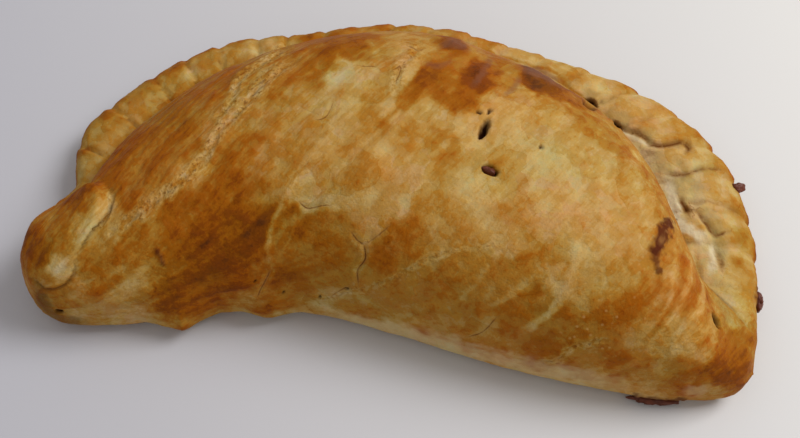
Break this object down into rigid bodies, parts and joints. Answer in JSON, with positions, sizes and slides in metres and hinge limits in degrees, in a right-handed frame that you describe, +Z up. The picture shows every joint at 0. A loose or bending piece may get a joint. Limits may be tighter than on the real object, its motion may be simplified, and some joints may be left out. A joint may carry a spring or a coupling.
{
  "type": "cornish pasty",
  "caption": "Half-moon baked pasty with a domed glazed crust, a folded nose, a crimped rope edge along its back and small steam vents, lying flat.",
  "frame": {"origin": "middle of the flat base, on the surface that the pasty lies on", "axes": "+X along the pasty from the folded nose to the flat corner, +Y towards the crimped edge, +Z up"},
  "size_m": [0.2051, 0.1143, 0.0459],
  "materials": {
    "crust": "baked pastry with an egg glaze, golden to deep brown, satin"
  },
  "bodies": {
    "root": {"pasty": "crust"}
  },
  "joints": []
}
